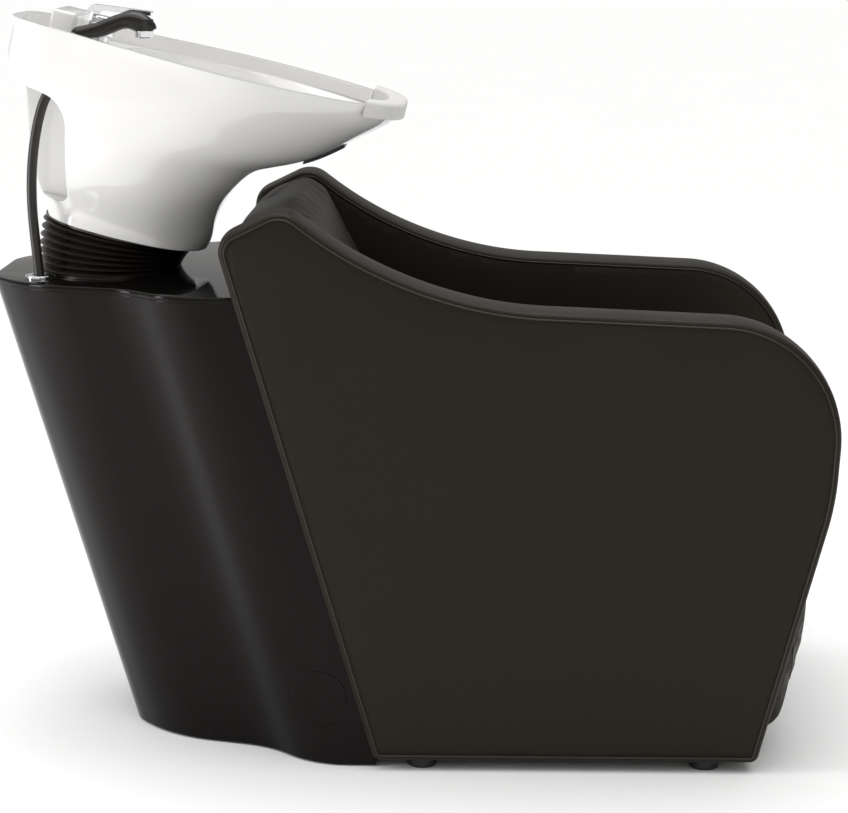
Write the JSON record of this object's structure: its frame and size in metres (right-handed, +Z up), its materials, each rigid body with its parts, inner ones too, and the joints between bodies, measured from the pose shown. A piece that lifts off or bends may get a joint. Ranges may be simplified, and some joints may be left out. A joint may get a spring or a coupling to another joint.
{
  "type": "hair washing bed",
  "caption": "Upholstered salon chair joined to a leaning gloss pedestal that carries a tilting ceramic wash basin with mixer, hand shower and bellows.",
  "frame": {"origin": "on the floor under the middle of the footprint box", "axes": "+X runs from the basin end to the sitter's knees, +Y to the sitter's left, +Z up"},
  "size_m": [1.2478, 0.64, 1.0971],
  "materials": {
    "upholstery": "black synthetic leather",
    "board": "raw plywood",
    "steel": "black powder coat",
    "zinc": "zinc plated",
    "gloss_shell": "high gloss black",
    "black_plastic": "matte black",
    "ceramic": "white glaze",
    "soft_white": "soft white elastomer",
    "soft_black": "soft black rubber",
    "bellows": "black rubber",
    "chrome": "polished chrome",
    "hose": "black hose",
    "braid": "braided steel",
    "gloss_black": "gloss black",
    "drain_plastic": "grey plastic",
    "brass": "satin brass"
  },
  "bodies": {
    "seat_and_pedestal": {"side_panel_right": "upholstery", "side_panel_left": "upholstery", "backrest_cushion": "upholstery", "seat_cushion": "upholstery", "front_apron": "upholstery", "back_board": "board", "seat_deck": "board", "side_boards": "board", "seat_rails": "board", "corner_brackets": "zinc", "bracket_screws": "zinc", "seat_feet": "black_plastic", "pedestal_shell": "gloss_shell", "pedestal_top": "gloss_shell", "access_cap_right": "black_plastic", "access_cap_left": "black_plastic", "base_frame": "steel", "link_frame": "steel", "link_bolts": "zinc", "base_glides": "black_plastic", "tilt_fork": "steel", "tilt_pin": "zinc", "tilt_bushes": "black_plastic", "shower_hose": "hose", "hose_grommet": "chrome", "bellows": "bellows", "drain_hose": "drain_plastic", "drain_trap": "drain_plastic", "waste_pipe": "drain_plastic", "supply_hose_right": "braid", "supply_hose_left": "braid", "stop_valves": "brass"},
    "bowl": {"basin_cradle": "steel", "cradle_bolts": "zinc", "basin": "ceramic", "neck_rest": "soft_white", "front_bumper": "soft_black", "basin_waste": "chrome", "waste_nut": "black_plastic", "mixer_body": "chrome", "mixer_nut": "brass", "shower_guide": "chrome"},
    "strainer_plug": {"strainer": "chrome"},
    "mixer_turn": {"mixer_cap": "chrome"},
    "mixer_handle": {"mixer_lever": "chrome"},
    "handset": {"hand_shower": "gloss_black", "spray_ring": "chrome", "spray_face": "soft_black", "hose_tail": "hose"},
    "service_door": {"rear_door": "gloss_shell"}
  },
  "joints": [
    {"name": "bowl_tilt", "type": "hinge", "parent": "seat_and_pedestal", "child": "bowl", "pos_m": [-0.437, 0, 0.69], "axis": [0, 1, 0], "range_deg": [-13.5, 0], "deforming": ["bellows", "shower_hose", "drain_hose", "supply_hose_right", "supply_hose_left"]},
    {"name": "strainer_lift", "type": "slide", "parent": "bowl", "child": "strainer_plug", "axis": [0.2334, 0, 0.9724], "range_m": [0, 0.04]},
    {"name": "mixer_swing", "type": "hinge", "parent": "bowl", "child": "mixer_turn", "pos_m": [-0.4663, 0, 1.07343], "axis": [0.2334, 0, 0.9724], "range_deg": [-45, 45]},
    {"name": "lever_lift", "type": "hinge", "parent": "mixer_turn", "child": "mixer_handle", "pos_m": [-0.4747, 0, 1.08985], "axis": [0, -1, 0], "range_deg": [0, 20]},
    {"name": "handset_pull", "type": "slide", "parent": "bowl", "child": "handset", "axis": [0.4924, 0, 0.8704], "range_m": [0, 0.045]},
    {"name": "door_pull", "type": "slide", "parent": "seat_and_pedestal", "child": "service_door", "axis": [-1, 0, 0], "range_m": [0, 0.08]}
  ]
}
